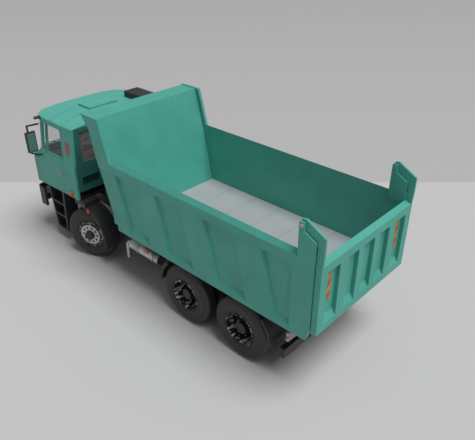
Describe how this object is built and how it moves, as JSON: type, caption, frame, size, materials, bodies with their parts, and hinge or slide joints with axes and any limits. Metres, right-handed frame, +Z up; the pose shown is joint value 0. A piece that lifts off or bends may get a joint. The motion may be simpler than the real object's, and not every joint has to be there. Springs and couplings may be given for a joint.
{
  "type": "card model of a tipper lorry",
  "caption": "Small card model of a forward-control six-wheel-drive tipper lorry with a ribbed steel-style tipping bed, a top-hung tailgate, steering front wheels and twin rear wheels",
  "frame": {"origin": "on the ground, under the middle of the overall box", "axes": "+X forward, +Y to the truck's left, +Z up"},
  "size_m": [0.2396, 0.0944, 0.1031],
  "materials": {
    "body_card": "matt turquoise-green printed card",
    "floor_card": "matt light grey printed card",
    "black_card": "matt black printed card",
    "tyre_card": "matt dark grey laminated card",
    "rim_card": "white and grey printed card",
    "chrome_card": "satin silver printed card",
    "lamp_card": "white printed card",
    "red_card": "red and white printed card",
    "seat_card": "matt grey printed card",
    "trim_card": "dark brown printed card",
    "window_film": "clear film",
    "hoist_wire": "plain steel"
  },
  "bodies": {
    "chassis": {"backbone_tube": "black_card", "frame_rails": "black_card", "front_axle": "black_card", "middle_axle": "black_card", "rear_axle": "black_card", "engine": "black_card", "front_bumper": "black_card", "head_lamps": "lamp_card", "entry_step_left": "black_card", "entry_step_right": "black_card", "front_mudguard_left": "black_card", "front_mudguard_right": "black_card", "rear_mudguards": "black_card", "battery_box": "black_card", "silencer": "chrome_card", "tail_pipe": "chrome_card", "fuel_tank": "black_card", "air_intake": "black_card", "underrun_bar": "black_card", "tail_lamps": "red_card", "cab_floor": "black_card", "cab_front": "body_card", "cab_side_left": "body_card", "cab_side_right": "body_card", "cab_rear_wall": "body_card", "cab_roof": "body_card", "roof_hatch": "body_card", "windscreen": "window_film", "side_windows": "window_film", "rear_windows": "window_film", "seats": "seat_card", "dashboard": "trim_card", "steering_wheel": "black_card", "mirror_left": "black_card", "mirror_right": "black_card"},
    "steering_left": {"knuckle_left": "black_card"},
    "steering_right": {"knuckle_right": "black_card"},
    "front_wheel_left": {"front_rim_left": "rim_card", "front_tyre_left": "tyre_card"},
    "front_wheel_right": {"front_rim_right": "rim_card", "front_tyre_right": "tyre_card"},
    "middle_wheels_left": {"middle_rims_left": "rim_card", "middle_tyres_left": "tyre_card"},
    "middle_wheels_right": {"middle_rims_right": "rim_card", "middle_tyres_right": "tyre_card"},
    "rear_wheels_left": {"rear_rims_left": "rim_card", "rear_tyres_left": "tyre_card"},
    "rear_wheels_right": {"rear_rims_right": "rim_card", "rear_tyres_right": "tyre_card"},
    "bed": {"bed_floor": "floor_card", "bed_front_wall": "body_card", "bed_side_left": "body_card", "bed_side_right": "body_card"},
    "tailgate": {"tailgate": "body_card"},
    "hoist_barrel": {"hoist_barrel": "black_card"},
    "hoist_rod": {"hoist_rod": "hoist_wire"}
  },
  "joints": [
    {"name": "steer_left", "type": "hinge", "parent": "chassis", "child": "steering_left", "pos_m": [0.0606, 0.0312, 0.0177], "axis": [0, 0, 1], "range_deg": [-52, 8]},
    {"name": "front_wheel_left_spin", "type": "hinge", "parent": "steering_left", "child": "front_wheel_left", "pos_m": [0.0606, 0.0312, 0.0177], "axis": [-0.3746, 0.9272, 0], "continuous": true},
    {"name": "middle_wheels_left_spin", "type": "hinge", "parent": "chassis", "child": "middle_wheels_left", "pos_m": [-0.0334, 0.03, 0.0177], "axis": [0, 1, 0], "continuous": true},
    {"name": "rear_wheels_left_spin", "type": "hinge", "parent": "chassis", "child": "rear_wheels_left", "pos_m": [-0.0739, 0.03, 0.0177], "axis": [0, 1, 0], "continuous": true},
    {"name": "steer_right", "type": "hinge", "parent": "chassis", "child": "steering_right", "pos_m": [0.0606, -0.0312, 0.0177], "axis": [0, 0, 1], "range_deg": [-52, 8]},
    {"name": "front_wheel_right_spin", "type": "hinge", "parent": "steering_right", "child": "front_wheel_right", "pos_m": [0.0606, -0.0312, 0.0177], "axis": [-0.3746, 0.9272, 0], "continuous": true},
    {"name": "middle_wheels_right_spin", "type": "hinge", "parent": "chassis", "child": "middle_wheels_right", "pos_m": [-0.0334, -0.03, 0.0177], "axis": [0, 1, 0], "continuous": true},
    {"name": "rear_wheels_right_spin", "type": "hinge", "parent": "chassis", "child": "rear_wheels_right", "pos_m": [-0.0739, -0.03, 0.0177], "axis": [0, 1, 0], "continuous": true},
    {"name": "bed_tip", "type": "hinge", "parent": "chassis", "child": "bed", "pos_m": [-0.0974, 0, 0.037], "axis": [0, -1, 0], "range_deg": [0, 45]},
    {"name": "tailgate_swing", "type": "hinge", "parent": "bed", "child": "tailgate", "pos_m": [-0.1086, 0, 0.094], "axis": [0, 1, 0], "range_deg": [0, 60]},
    {"name": "hoist_swing", "type": "hinge", "parent": "chassis", "child": "hoist_barrel", "pos_m": [0.0066, 0, 0.029], "axis": [0, 1, 0], "range_deg": [0, 11.2]},
    {"name": "hoist_stroke", "type": "slide", "parent": "hoist_barrel", "child": "hoist_rod", "axis": [-0.9906, 0, 0.1369], "range_m": [0, 0.0145]}
  ],
  "couplings": [
    {"joint": "steer_right", "follows": "steer_left", "ratio": 1},
    {"joint": "hoist_swing", "follows": "bed_tip", "ratio": 0.24696},
    {"joint": "hoist_stroke", "follows": "bed_tip", "m_per_rad": 0.018066}
  ]
}
